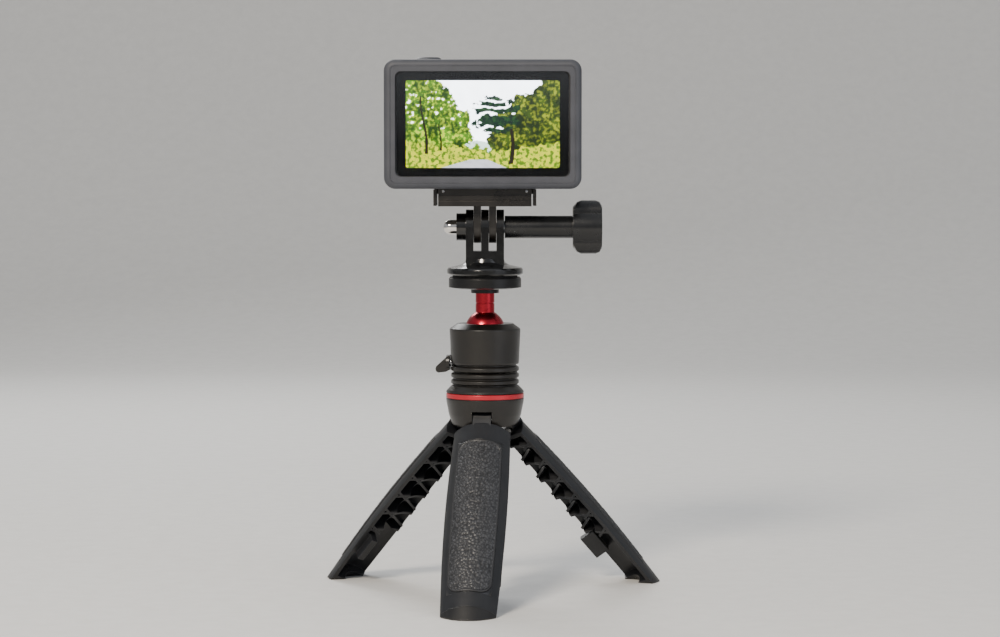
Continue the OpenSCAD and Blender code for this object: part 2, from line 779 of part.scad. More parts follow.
module mast_collar() {
    pitch = (collar_h - 2.9) / 2;
    color("#191a1c") translate([0, 0, collar_z]) difference() {
        union() {
            rotate_extrude() polygon([[spigot_r + run, 0], [ring_r, 0], [ring_r, 0.3], [ring_r - 0.4, 0.9],
                [rib_r + 0.1, 2.4], [rib_r - 0.3, 2.75], [spigot_r + run, 2.75]]);
            rotate_extrude() polygon([[spigot_r + run, 1], [rib_r - groove_d, 1], [rib_r - groove_d, collar_h - 0.3],
                [spigot_r + run, collar_h - 0.3]]);
            for (i = [0, 1]) translate([0, 0, 3.2 + i * pitch]) rotate_extrude() polygon([
                [spigot_r + run, 0], [rib_r - 0.6, 0], [rib_r, 0.5], [rib_r, pitch - 1], [rib_r - 0.6, pitch - 0.5],
                [spigot_r + run, pitch - 0.5]]);
            difference() {
                rod_z(spigot_r + 0.3, collar_h - 1, collar_h - 0.3);
                rod_z(mast_r + 0.5, collar_h - 2, collar_h + e);
            }
        }
    }
}

module red_ring() {
    color("#cf3140") difference() {
        rotate_extrude() translate([0, hub_top_z + snug]) polygon([[spigot_r + 2.5, 0], [ring_r - 0.3, 0],
            [ring_r, 0.3], [ring_r, ring_h - 0.3], [ring_r - 0.3, ring_h], [spigot_r + 2.5, ring_h]]);
    }
}

module mast_bush() {
    color("#d8d3c4") difference() {
        rod_z(bush_r, hinge_z + knuckle_r + 1, collar_z + collar_h - 1.4);
        rod_z(mast_r + run, hinge_z, head_z);
    }
}

module leg_hub() {
    h = hub_top_z - hub_bottom_z;
    color("#18191b") difference() {
        union() {
            translate([0, 0, hub_bottom_z]) rotate_extrude() polygon([[0, 0], [ring_r - 2.7, 0], [ring_r - 2.3, 0.5],
                [ring_r - 1.1, 0.4 * h], [ring_r - 0.15, 0.85 * h], [ring_r, 0.95 * h], [ring_r, h], [0, h]]);
            rod_z(spigot_r + 2.5 - snug, hub_top_z - e, ring_top_z);
            rod_z(spigot_r, hub_top_z, collar_z + collar_h - 1.3);
        }
        rod_z(mast_r + 0.3, hub_bottom_z - e, head_z);
        rod_z(bush_r + snug, hinge_z + knuckle_r + 0.95, head_z);
        for (a = LEG_ANGLES) rotate([0, 0, a]) translate([0, 0, hinge_z]) {
            span([hinge_r - knuckle_r - 0.3, -tab_w / 2 - part_gap, -4], [25, tab_w / 2 + part_gap, knuckle_r + 0.35]);
            translate([hinge_r, 0, 0]) rod_y(pin_r + snug, -pin_l / 2 - snug, pin_l / 2 + snug);
        }
    }
}

module pivot_pins() {
    color("#a9acb0") for (a = LEG_ANGLES)
        rotate([0, 0, a]) translate([hinge_r, 0, hinge_z]) rod_y(pin_r, -pin_l / 2, pin_l / 2);
}

// ---- Legs, drawn hanging straight down at +X and then swung out ----

function leg_out(w) = leg_r + leg_swell * sin(180 * w / leg_length) - 0.5 * pow(w / leg_length, 2);
function leg_line(inset, w0, w1) =
    [for (i = [0 : leg_steps]) let (w = w0 + (w1 - w0) * i / leg_steps) [leg_out(w) - inset, -w]];

module leg_solid(sector, inset, r_in, w0, w1) {
    rotate([0, 0, -sector / 2]) rotate_extrude(angle = sector)
        polygon(concat([[r_in, -w1], [r_in, -w0]], leg_line(inset, w0, w1)));
}

module pad_solid(sector, outset, inset) {
    line_in = leg_line(inset, pad_w1, pad_w0);
    rotate([0, 0, -sector / 2]) rotate_extrude(angle = sector)
        polygon(concat(leg_line(-outset, pad_w0, pad_w1), line_in));
}

module on_leg(angle) {
    rotate([0, 0, angle]) translate([hinge_r, 0, hinge_z]) rotate([0, -leg_spread, 0])
        translate([-hinge_r, 0, 0]) children();
}

module below_ground() {
    translate([hinge_r, 0, 0]) rotate([0, leg_spread, 0])
        translate([-200, -100, -hinge_z - 100]) cube([400, 200, 100]);
}

module leg_shoulders() {
    translate([-1, 0, 0]) rotate([90, 0, 90]) linear_extrude(30)
        polygon([[-20, -leg_top_w - 1.6], [-6, -leg_top_w], [6, -leg_top_w], [20, -leg_top_w - 1.6],
            [20, -leg_length], [-20, -leg_length]]);
}

module leg_ribs() {
    cells = floor((rib_end_w - 8) / rib_pitch);
    intersection() {
        leg_solid(leg_sector - 1, leg_wall / 2, 7.6, leg_top_w + 1, rib_end_w);
        for (i = [-1 : cells], s = [-1, 1])
            translate([10, 0, -11 - (i + 0.5) * rib_pitch]) rotate([s * 60, 0, 0]) cube([12, 1, 40], center = true);
    }
}

module leg_tongue() {
    r_out = leg_out(tongue_w + tongue_l / 2) - leg_wall;
    r_tip = sqrt(pow(r_out - 0.6, 2) - pow(tongue_reach, 2));
    rotate([0, 0, leg_sector / 2]) translate([0, 0, -tongue_w - tongue_l]) {
        translate([8.4, -2.6, 0]) cube([r_out + 0.3 - 8.4, 2.6, tongue_l]);
        translate([8.4, -0.5, 0]) cube([r_tip - 8.4, tongue_reach + 0.5, tongue_l]);
    }
}

module leg(angle) {
    color("#1d1e21") on_leg(angle) difference() {
        union() {
            intersection() {
                difference() {
                    leg_solid(leg_sector, 0, 7, leg_top_w, leg_foot_w);
                    leg_solid(leg_sector + 4, leg_wall, 5, leg_top_w + 2, leg_foot_w - 1.6);
                }
                leg_shoulders();
            }
            leg_ribs();
            leg_tongue();
            translate([hinge_r, tab_w / 2, 0]) rotate([90, 0, 0]) linear_extrude(tab_w) {
                circle(knuckle_r);
                polygon([[-knuckle_r, 0], [knuckle_r, 0], [knuckle_r - 0.9, -leg_top_w - 2], [-knuckle_r, -leg_top_w - 5]]);
            }
        }
        pad_solid(pad_sector, 1, 0.6);
        translate([hinge_r, 0, 0]) rod_y(pin_r + run, -10, 10);
        span([8, -1, -leg_length + 22], [20, 1, -leg_length + 25]);
        translate([10, 0, 0]) rod_z(1.5 + snug, -leg_foot_w - e, -leg_foot_w + 3);
    }
}

module grip_pad(angle) {
    color("#3a3b3e") on_leg(angle) pad_solid(pad_sector - 0.4, 0.35, 0.55);
}

module foot_outline() {
    translate([-1, 0, 0]) rotate([90, 0, 90]) linear_extrude(30)
        polygon([[-16, -leg_foot_w + 1], [-16, -leg_length + 4.4], [-10.9, -leg_length + 4.1], [-9.2, -leg_length + 2.4],
            [-5.5, -leg_length - 0.2], [-2.5, -leg_length - 1.1], [2.5, -leg_length - 1.1], [5.5, -leg_length - 0.2],
            [9.2, -leg_length + 2.4], [10.9, -leg_length + 4.1], [16, -leg_length + 4.4], [16, -leg_foot_w + 1]]);
}

module foot(angle) {
    color("#222325") on_leg(angle) difference() {
        union() {
            intersection() {
                leg_solid(leg_sector, 0, 7, leg_foot_w + run, leg_length + 16);
                foot_outline();
            }
            translate([10, 0, 0]) rod_z(1.5, -leg_foot_w - 1, -leg_foot_w + 1.5);
        }
        below_ground();
    }
}

module leg_front() {
    leg(LEG_ANGLES[0]);
}

module leg_left() {
    leg(LEG_ANGLES[1]);
}

module leg_right() {
    leg(LEG_ANGLES[2]);
}

module grip_pad_front() {
    grip_pad(LEG_ANGLES[0]);
}

module grip_pad_left() {
    grip_pad(LEG_ANGLES[1]);
}

module grip_pad_right() {
    grip_pad(LEG_ANGLES[2]);
}

module foot_front() {
    foot(LEG_ANGLES[0]);
}

module foot_left() {
    foot(LEG_ANGLES[1]);
}

module foot_right() {
    foot(LEG_ANGLES[2]);
}

front_housing();
rear_housing();
protective_sleeve();
touchscreen_glass();
display_panel();
heat_spreader();
main_board();
sensor_module();
lens_barrel();
lens_elements();
lens_ring();
lens_window();
front_screen();
battery();
speaker();
memory_card();
usb_socket();
housing_screws();
shutter_button();
power_button();
battery_door();
door_seal();
door_latch();
door_pin();
clip_plate();
clip_claw_left();
clip_claw_right();
claw_pins();
clip_magnets();
mount_adapter();
threaded_insert();
dome_nut();
thumbscrew_knob();
thumbscrew_bolt();
camera_platform();
platform_pad();
tripod_screw();
ball_stem();
ball_cup();
cup_spring();
ball_housing();
mast_tube();
lock_lever();
lock_screw();
mast_collar();
red_ring();
mast_bush();
leg_hub();
pivot_pins();
leg_front();
leg_left();
leg_right();
grip_pad_front();
grip_pad_left();
grip_pad_right();
foot_front();
foot_left();
foot_right();
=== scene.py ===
"""Looks for the action camera in its silicone sleeve, on the small folding grip.

The CAD nodes keep their shapes and places. This file dresses them, rebuilds the soft or sculpted pieces at a finer
grade, and sets up the pale studio. Lengths in the classes are millimetres, and MM turns them to metres.
"""
import json
import logging
import math
from dataclasses import dataclass, field
from enum import Enum

import bpy
from mathutils import Matrix, Vector, noise


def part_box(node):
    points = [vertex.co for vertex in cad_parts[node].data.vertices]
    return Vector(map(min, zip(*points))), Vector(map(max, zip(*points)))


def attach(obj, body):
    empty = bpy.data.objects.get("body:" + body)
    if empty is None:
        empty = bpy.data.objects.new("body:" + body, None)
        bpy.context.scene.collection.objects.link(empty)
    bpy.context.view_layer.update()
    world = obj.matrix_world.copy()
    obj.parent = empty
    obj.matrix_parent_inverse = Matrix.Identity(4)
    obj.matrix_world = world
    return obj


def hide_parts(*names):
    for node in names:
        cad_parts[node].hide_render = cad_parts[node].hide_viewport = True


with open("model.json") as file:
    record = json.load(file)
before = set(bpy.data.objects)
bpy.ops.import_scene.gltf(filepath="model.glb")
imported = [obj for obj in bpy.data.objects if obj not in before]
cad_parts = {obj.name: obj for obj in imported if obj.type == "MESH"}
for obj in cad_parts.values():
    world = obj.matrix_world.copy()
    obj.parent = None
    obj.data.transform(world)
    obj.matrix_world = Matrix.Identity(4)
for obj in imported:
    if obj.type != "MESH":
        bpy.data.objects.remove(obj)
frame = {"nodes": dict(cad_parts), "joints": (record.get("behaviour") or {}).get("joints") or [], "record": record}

MM = 0.001
LOG = logging.getLogger("camera_rig")
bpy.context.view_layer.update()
SLOTS = {entry["node"]: entry["material_slot"] for entry in frame["record"]["subparts"]}
CLOUD_MM = 9.0  # width of the faint cloudy variation on every finish
HAZE_MM = 14.0  # width of the oil haze on glass
TRACK_MM = 6.0  # pitch of the tracks on the circuit board


# ---- Colour and node helpers ----

def linear(hex_colour: str) -> tuple[float, float, float, float]:
    """Turn an sRGB hex colour into linear RGBA.

    Args:
        hex_colour: A colour such as "#1c1d20".

    Returns:
        Red, green, blue and alpha, with the first three linear.
    """
    parts = [int(hex_colour[i:i + 2], 16) / 255 for i in (1, 3, 5)]
    return (*(c / 12.92 if c <= 0.04045 else ((c + 0.055) / 1.055) ** 2.4 for c in parts), 1.0)


def per_mm(size_mm: float) -> float:
    """Texture scale of a pattern of a real size.

    Args:
        size_mm: Width of one grain.

    Returns:
        Repeats per metre.
    """
    return 1.0 / (size_mm * MM)


def clamp(value: float) -> float:
    """Hold a value between 0 and 1."""
    return min(1.0, max(0.0, value))


def add_node(tree: bpy.types.NodeTree, kind: str, values: dict | None = None,
             links: dict | None = None, **settings: object) -> bpy.types.Node:
    """Add one shader node.

    Args:
        tree: The material's node tree.
        kind: Blender's node type.
        values: Socket name or index to the value set on it.
        links: Socket name or index to the output that feeds it.
        **settings: Properties of the node itself.

    Returns:
        The new node.
    """
    node = tree.nodes.new(kind)
    for name, value in settings.items():
        setattr(node, name, value)
    for socket, value in (values or {}).items():
        node.inputs[socket].default_value = value
    for socket, source in (links or {}).items():
        tree.links.new(source, node.inputs[socket])
    return node


def new_material(name: str) -> tuple[bpy.types.Material, bpy.types.NodeTree]:
    """Make an empty node material.

    Args:
        name: The finish's name.

    Returns:
        The material and its cleared node tree.
    """
    made = bpy.data.materials.new(name)
    made.use_nodes = True
    made.node_tree.nodes.clear()
    return made, made.node_tree


class Grain(Enum):
    """How a surface was made, which decides its fine relief."""

    POLISHED = "polished"
    MOULDED = "moulded"
    SPARKED = "spark eroded"
    BLASTED = "bead blasted"
    TURNED = "turned"
    BRUSHED = "brushed"
    LEATHER = "leather embossed"


@dataclass(frozen=True)
class Finish:
    """One real surface: what it is made of, how it was worked, how it has worn, and the painted highlight along its
    edges.

    Attributes:
        name: Plain name of material and process.
        colour: Body colour, sRGB hex.
        patina: Colour of the faint cloudy variation, sRGB hex.
        roughness: Mean roughness.
        metallic: 1 for bare or anodised metal.
        ior: Index of refraction, left at the default for metals.
        grain: How the surface was made.
        grain_mm: Width of one grain.
        relief_mm: Depth of the relief.
        edge: Colour that rounded edges are lightened to, partly wear from handling and partly painted highlight; on
            leather, the painted highlight on the crests; or None.
        edge_mm: Width of the rounded edge, and of its lightened band.
        coat: Clear coat weight.
        smudge: How far roughness wanders where hands have been.
    """

    name: str
    colour: str
    patina: str
    roughness: float
    metallic: float = 0.0
    ior: float = 1.5
    grain: Grain = Grain.MOULDED
    grain_mm: float = 0.5
    relief_mm: float = 0.01
    edge: str | None = None
    edge_mm: float = 0.25
    coat: float = 0.0
    smudge: float = 0.06

    def relief(self, tree: bpy.types.NodeTree, place: bpy.types.NodeSocket) -> bpy.types.NodeSocket:
        """Height pattern of the grain.

        Args:
            tree: The material's node tree.
            place: Object coordinates in metres.

        Returns:
            A socket that carries heights from 0 to 1.
        """
        scale = per_mm(self.grain_mm)
        if self.grain is Grain.LEATHER:
            return add_node(tree, "ShaderNodeTexNoise", {"Scale": scale * 3.0, "Detail": 3.0},
                            {"Vector": place}).outputs["Fac"]
        if self.grain is Grain.SPARKED:
            cells = add_node(tree, "ShaderNodeTexVoronoi", {"Scale": scale}, {"Vector": place})
            fine = add_node(tree, "ShaderNodeTexNoise", {"Scale": scale * 0.7, "Detail": 3.0}, {"Vector": place})
            return add_node(tree, "ShaderNodeMath", links={0: cells.outputs["Distance"], 1: fine.outputs["Fac"]},
                            operation="MULTIPLY").outputs[0]
        if self.grain in (Grain.BRUSHED, Grain.TURNED):
            along = (1.0, 1.0, 14.0) if self.grain is Grain.TURNED else (0.08, 1.0, 1.0)
            stretched = add_node(tree, "ShaderNodeMapping", {"Scale": along}, {"Vector": place})
            return add_node(tree, "ShaderNodeTexNoise", {"Scale": scale * 0.2, "Detail": 4.0},
                            {"Vector": stretched.outputs[0]}).outputs["Fac"]
        return add_node(tree, "ShaderNodeTexNoise", {"Scale": scale, "Detail": 2.0, "Roughness": 0.6},
                        {"Vector": place}).outputs["Fac"]

    def material(self) -> bpy.types.Material:
        """Build the node material.

        Returns:
            The material, with body colour, patina, edges lightened as wear and painted highlight, smudges and relief.
        """
        made, tree = new_material(self.name)
        place = add_node(tree, "ShaderNodeTexCoord").outputs["Object"]
        cloud = add_node(tree, "ShaderNodeTexNoise", {"Scale": per_mm(CLOUD_MM), "Detail": 5.0, "Roughness": 0.6},
                         {"Vector": place}).outputs["Fac"]
        cloudy = add_node(tree, "ShaderNodeMapRange", {"From Min": 0.35, "From Max": 0.7},
                          {"Value": cloud}).outputs[0]
        body = add_node(tree, "ShaderNodeMix", {6: linear(self.colour), 7: linear(self.patina)}, {0: cloudy},
                        data_type="RGBA").outputs[2]
        rounded = add_node(tree, "ShaderNodeBevel", {"Radius": self.edge_mm * MM}, samples=4)
        if self.grain is Grain.LEATHER:
            # Leather: the crests are painted in the edge colour as painted highlight, and the gaps stay in the body
            # colour as painted shade.
            crest = add_node(tree, "ShaderNodeAttribute", attribute_name="crest").outputs["Fac"]
            body = add_node(tree, "ShaderNodeMix", {7: linear(self.edge)}, {0: crest, 6: body},
                            data_type="RGBA").outputs[2]
        elif self.edge:
            # Rounded edges lightened towards the edge colour: partly wear from handling, partly painted highlight.
            facing = add_node(tree, "ShaderNodeNewGeometry").outputs["Normal"]
            turn = add_node(tree, "ShaderNodeVectorMath", links={0: rounded.outputs[0], 1: facing},
                            operation="DOT_PRODUCT").outputs["Value"]
            edge_wear_and_highlight = add_node(tree, "ShaderNodeMapRange", {"From Min": 0.995, "From Max": 0.8, "To Max": 0.85},
                           {"Value": turn}).outputs[0]
            patchy_wear_and_highlight = add_node(tree, "ShaderNodeMath", links={0: edge_wear_and_highlight, 1: cloudy}, operation="MULTIPLY").outputs[0]
            body = add_node(tree, "ShaderNodeMix", {7: linear(self.edge)}, {0: patchy_wear_and_highlight, 6: body},
                            data_type="RGBA").outputs[2]
        rough = add_node(tree, "ShaderNodeMapRange", {
            "From Min": 0.3, "From Max": 0.75,
            "To Min": max(0.03, self.roughness - self.smudge), "To Max": min(1.0, self.roughness + self.smudge),
        }, {"Value": cloud}).outputs[0]
        bump = add_node(tree, "ShaderNodeBump", {"Distance": self.relief_mm * MM, "Strength": 1.0},
                        {"Height": self.relief(tree, place), "Normal": rounded.outputs[0]})
        values = {"Metallic": self.metallic, "Coat Weight": self.coat, "Coat Roughness": 0.08}
        if not self.metallic:
            values["IOR"] = self.ior
        surface = add_node(tree, "ShaderNodeBsdfPrincipled", values,
                           {"Base Color": body, "Roughness": rough, "Normal": bump.outputs[0]})
        add_node(tree, "ShaderNodeOutputMaterial", links={"Surface": surface.outputs[0]})
        return made


# ---- Finishes, one for each material slot of the record ----

# Each edge colour below lightens the rounded edges of its finish: partly wear from handling, partly painted
# highlight.
FINISHES: dict[str, Finish] = {
    # Glass-filled nylon, spark-eroded mould: near black, a dry fine sparkle, edges a shade lighter.
    "housing_plastic": Finish("black_nylon_spark_eroded", "#1b1c1e", "#232427", 0.52, grain=Grain.SPARKED,
                              grain_mm=0.25, relief_mm=0.012, edge="#3a3b3e"),
    # Silicone rubber, compression moulded: soft slate grey, matt, dust-catching, no hard highlight.
    "sleeve_silicone": Finish("slate_silicone_moulded", "#3d3f45", "#46484e", 0.55, ior=1.43, grain=Grain.MOULDED,
                              grain_mm=0.35, relief_mm=0.012, edge="#5c5e65", edge_mm=0.4),
    # The same silicone over the buttons, polished a little by thumbs.
    "button_silicone": Finish("slate_silicone_button", "#3a3c42", "#43454b", 0.5, ior=1.43, grain=Grain.MOULDED,
                              grain_mm=0.3, relief_mm=0.008, edge="#74767d", edge_mm=0.4),
    # Rolled copper foil: warm metal with a faint lengthwise grain.
    "copper_sheet": Finish("rolled_copper", "#b87247", "#a8613a", 0.35, metallic=1.0, grain=Grain.BRUSHED,
                           grain_mm=0.3, relief_mm=0.005),
    # Ceramic chip package: dry grey-green.
    "sensor_package": Finish("ceramic_package", "#355149", "#2c453e", 0.45, grain_mm=0.3, relief_mm=0.004),
    # Black anodised aluminium, turned: tight rings that draw the highlight out sideways.
    "barrel_anodised": Finish("black_anodised_turned", "#17181b", "#1f2024", 0.34, metallic=1.0, grain=Grain.TURNED,
                              grain_mm=0.4, relief_mm=0.006, edge="#55575c"),
    # Graphite anodised aluminium, bead blasted: even satin sheen round the lens.
    "ring_anodised": Finish("graphite_anodised_blasted", "#3a3c41", "#44464c", 0.38, metallic=1.0,
                            grain=Grain.BLASTED, grain_mm=0.18, relief_mm=0.006, edge="#8b8d92"),
    # Battery wrap: printed film over a moulded case, satin blue.
    "battery_wrap": Finish("blue_wrap_film", "#27497c", "#2f548b", 0.35, grain_mm=0.8, relief_mm=0.01, coat=0.3),
    # Pressed steel can of the speaker.
    "speaker_steel": Finish("pressed_steel", "#8b8e92", "#7c7f84", 0.32, metallic=1.0, grain=Grain.BRUSHED,
                            grain_mm=0.3, relief_mm=0.006),
    # Moulded memory card shell.
    "card_plastic": Finish("black_card_moulding", "#16171a", "#1d1e22", 0.4, grain_mm=0.3, relief_mm=0.005),
    # Drawn steel shell of the socket.
    "socket_steel": Finish("drawn_steel", "#a9abaf", "#999ba0", 0.28, metallic=1.0, grain=Grain.BRUSHED,
                           grain_mm=0.3, relief_mm=0.004),
    # Zinc plated steel, turned: bright grey with fine rings.
    "screw_steel": Finish("zinc_steel_turned", "#9b9da1", "#8a8c91", 0.3, metallic=1.0, grain=Grain.TURNED,
                          grain_mm=0.3, relief_mm=0.006),
    # Ground pin ends: small bright dots.
    "claw_pin_steel": Finish("ground_steel", "#d9dbdd", "#c7c9cc", 0.16, metallic=1.0, grain=Grain.POLISHED,
                             grain_mm=0.4, relief_mm=0.002, smudge=0.03),
    # Latch slider: moulded acetal, slightly lighter than the door.
    "latch_plastic": Finish("acetal_moulded", "#2b2c30", "#333438", 0.42, grain_mm=0.3, relief_mm=0.008,
                            edge="#4b4c50"),
    # Red silicone seal inside the door.
    "seal_rubber": Finish("red_silicone_seal", "#7d2328", "#8c2a2f", 0.5, ior=1.43, grain_mm=0.3, relief_mm=0.006),
    # Clip: black nylon from a satin mould; its edges are painted brown-grey as painted highlight, so the lines read
    # as bands.
    "clip_plastic": Finish("black_nylon_satin", "#161412", "#1e1b18", 0.3, grain=Grain.SPARKED, grain_mm=0.2,
                           relief_mm=0.006, edge="#77716a", edge_mm=0.25),
    # Nickel plated magnets.
    "magnet_nickel": Finish("nickel_plate", "#b4b3ae", "#a5a49f", 0.22, metallic=1.0, grain=Grain.POLISHED,
                            grain_mm=0.5, relief_mm=0.003, smudge=0.04),
    # Adapter: glossy black ABS, polished mould, long clean highlights with faint flow marks.
    "adapter_plastic": Finish("black_abs_gloss", "#060606", "#0b0b0b", 0.17, ior=1.54, grain=Grain.POLISHED,
                              grain_mm=2.2, relief_mm=0.02, edge="#3c3c3d", coat=0.3, smudge=0.05),
    # Brass insert, turned.
    "insert_brass": Finish("turned_brass", "#c79a4b", "#b4883d", 0.28, metallic=1.0, grain=Grain.TURNED,
                           grain_mm=0.3, relief_mm=0.006),
    # Dome nut: chrome plate, mirror with a breath of haze.
    "nut_chrome": Finish("chrome_plate", "#e6e3de", "#d6d2cc", 0.09, metallic=1.0, grain=Grain.POLISHED,
                         grain_mm=1.5, relief_mm=0.003, smudge=0.03),
    # Knob: ABS with a grained grip; its edges are painted greyer as painted highlight where light rakes over them.
    "knob_plastic": Finish("black_abs_grained", "#0d0e0f", "#151618", 0.25, grain=Grain.SPARKED, grain_mm=0.35,
                           relief_mm=0.01, edge="#47484b", edge_mm=0.5),
    # Platform: black anodised aluminium, turned.
    "platform_anodised": Finish("black_anodised_satin", "#0c0c0d", "#131314", 0.36, metallic=0.3,
                                grain=Grain.TURNED, grain_mm=0.35, relief_mm=0.008, edge="#5b5b5e"),
    # Pad: matt black rubber.
    "pad_rubber": Finish("black_rubber_matt", "#151515", "#1d1d1d", 0.75, grain=Grain.SPARKED, grain_mm=0.3,
                         relief_mm=0.02),
    # Ball and stem: red anodised aluminium, polished before anodising, so the colour glows in the highlight.
    "stem_red": Finish("red_anodised_polished", "#b52f3b", "#9b2430", 0.27, metallic=1.0, grain=Grain.TURNED,
                       grain_mm=0.3, relief_mm=0.002, edge="#e0707a", smudge=0.04),
    # Natural nylon bushes: warm white.
    "bush_nylon": Finish("natural_nylon", "#d9d2bf", "#cbc3ae", 0.45, grain_mm=0.4, relief_mm=0.006),
    # Wave spring steel.
    "spring_steel": Finish("spring_steel", "#8a8d92", "#7a7d82", 0.3, metallic=1.0, grain=Grain.BRUSHED,
                           grain_mm=0.3, relief_mm=0.004),
    # Head, collar and hub: ABS from a fine matt mould, slightly warm black.
    "head_plastic": Finish("warm_black_abs_matt", "#100e0c", "#191612", 0.34, grain=Grain.SPARKED, grain_mm=0.22,
                           relief_mm=0.008, edge="#3a3733", edge_mm=0.3),
    # Mast tube: dark anodised drawn aluminium.
    "mast_anodised": Finish("dark_anodised_drawn", "#2b2c30", "#35363b", 0.35, metallic=1.0, grain=Grain.BRUSHED,
                            grain_mm=0.35, relief_mm=0.006, edge="#76787c"),
    # Red ring: anodised aluminium, satin.
    "ring_red": Finish("red_anodised_satin", "#c8343f", "#b42833", 0.34, metallic=0.5, grain=Grain.TURNED,
                       grain_mm=0.3, relief_mm=0.004, edge="#e87c86"),
    # Legs: glass-filled nylon, fine spark-eroded texture, cool charcoal.
    "leg_plastic": Finish("charcoal_nylon_spark_eroded", "#131417", "#1c1d20", 0.38, grain=Grain.SPARKED,
                          grain_mm=0.25, relief_mm=0.01, edge="#3b3c40", edge_mm=0.35),
    # Grip pads: soft rubber embossed with a leather grain; the crests are painted lighter as painted highlight with
    # some wear, and the gaps stay dark as painted shade.
    "grip_rubber": Finish("leather_grain_rubber", "#0a0a0b", "#101012", 0.4, grain=Grain.LEATHER, grain_mm=0.9,
                          relief_mm=0.02, edge="#3d3e41", edge_mm=0.12),
    # Feet: rubber, matt; rounded edges lightened to brown-grey, partly wear from handling and partly painted
    # highlight.
    "foot_rubber": Finish("black_rubber_foot", "#0f0e0e", "#181716", 0.42, grain=Grain.SPARKED, grain_mm=0.3,
                          relief_mm=0.015, edge="#403d39", edge_mm=0.5),
}


class CoverGlass:
    """Aluminosilicate cover glass, polished: clear, with a crisp reflection and a faint oil haze."""

    def material(self, name: str, tint: str) -> bpy.types.Material:
        """Build the glass.

        Args:
            name: Material name.
            tint: Body tint, sRGB hex.

        Returns:
            The material.
        """
        made, tree = new_material(name)
        place = add_node(tree, "ShaderNodeTexCoord").outputs["Object"]
        haze = add_node(tree, "ShaderNodeTexNoise", {"Scale": per_mm(HAZE_MM), "Detail": 6.0}, {"Vector": place})
        rough = add_node(tree, "ShaderNodeMapRange", {"From Min": 0.4, "From Max": 0.75, "To Min": 0.01,
                                                      "To Max": 0.06}, {"Value": haze.outputs["Fac"]})
        surface = add_node(tree, "ShaderNodeBsdfPrincipled",
                           {"Base Color": linear(tint), "Transmission Weight": 1.0, "IOR": 1.5},
                           {"Roughness": rough.outputs[0]})
        add_node(tree, "ShaderNodeOutputMaterial", links={"Surface": surface.outputs[0]})
        return made


class CircuitBoardFinish:
    """Solder mask over copper tracks: glossy green with a faint lighter net of tracks and dull black chips."""

    def material(self) -> bpy.types.Material:
        """Build the board's material.

        Returns:
            The material.
        """
        made, tree = new_material("green_solder_mask")
        place = add_node(tree, "ShaderNodeTexCoord").outputs["Object"]
        tracks = add_node(tree, "ShaderNodeTexBrick", {
            "Color1": linear("#1d5a34"), "Color2": linear("#236b3f"), "Mortar": linear("#3c8a58"),
            "Scale": per_mm(TRACK_MM), "Mortar Size": 0.03}, {"Vector": place})
        surface = add_node(tree, "ShaderNodeBsdfPrincipled", {"Roughness": 0.3, "Coat Weight": 0.4, "IOR": 1.5},
                           {"Base Color": tracks.outputs[0]})
        add_node(tree, "ShaderNodeOutputMaterial", links={"Surface": surface.outputs[0]})
        return made


class LitPanelFinish:
    """Backlit display: the picture painted on the panel's points glows, over a dark glossy stack."""

    def material(self) -> bpy.types.Material:
        """Build the display's material.

        Returns:
            The material, which reads the "picture" colour attribute.
        """
        made, tree = new_material("lit_display_panel")
        picture = add_node(tree, "ShaderNodeAttribute", attribute_name="picture").outputs["Color"]
        surface = add_node(tree, "ShaderNodeBsdfPrincipled",
                           {"Base Color": linear("#101214"), "Roughness": 0.3, "Emission Strength": 7.0},
                           {"Emission Color": picture})
        add_node(tree, "ShaderNodeOutputMaterial", links={"Surface": surface.outputs[0]})
        return made


class Wardrobe:
    """Makes each slot's material once and hands it out.

    Attributes:
        made: Slot name to its finished material.
    """

    def __init__(self) -> None:
        self.made: dict[str, bpy.types.Material] = {}

    def get(self, slot: str) -> bpy.types.Material:
        """Material of one slot.

        Args:
            slot: A material slot of the record.

        Returns:
            The material, built on first use.
        """
        if slot not in self.made:
            self.made[slot] = self._make(slot)
        return self.made[slot]

    def _make(self, slot: str) -> bpy.types.Material:
        """Build one slot's material.

        Args:
            slot: A material slot of the record.

        Returns:
            The material.
        """
        if slot == "circuit_board":
            return CircuitBoardFinish().material()
        if slot == "display_stack":
            return LitPanelFinish().material()
        if slot == "screen_glass":
            return CoverGlass().material("cover_glass_polished", "#f4f6f8")
        if slot == "lens_glass":
            return CoverGlass().material("coated_lens_glass", "#d9e2f4")
        if slot == "front_display":
            return CoverGlass().material("smoked_display_glass", "#1a1c20")
        return FINISHES[slot].material()

    def dress(self, piece: bpy.types.Object, slot: str) -> None:
        """Put a slot's material on a piece.

        Args:
            piece: Mesh object.
            slot: A material slot of the record.
        """
        piece.data.materials.clear()
        piece.data.materials.append(self.get(slot))


# ---- Shapes shared by the finer pieces ----

def rounded_outline(half_w: float, half_h: float, corner: float, steps: int = 8) -> list[tuple[float, float]]:
    """Points round a rounded rectangle, always in the same order and number.

    Args:
        half_w: Half width.
        half_h: Half height.
        corner: Corner radius.
        steps: Points to a corner.

    Returns:
        The points, anticlockwise from the right-hand top corner.
    """
    points = []
    for quarter, (sx, sy) in enumerate(((1, 1), (-1, 1), (-1, -1), (1, -1))):
        for step in range(steps + 1):
            turn = math.radians(90 * (quarter + step / steps))
            points.append((sx * (half_w - corner) + corner * math.cos(turn),
                           sy * (half_h - corner) + corner * math.sin(turn)))
    return points


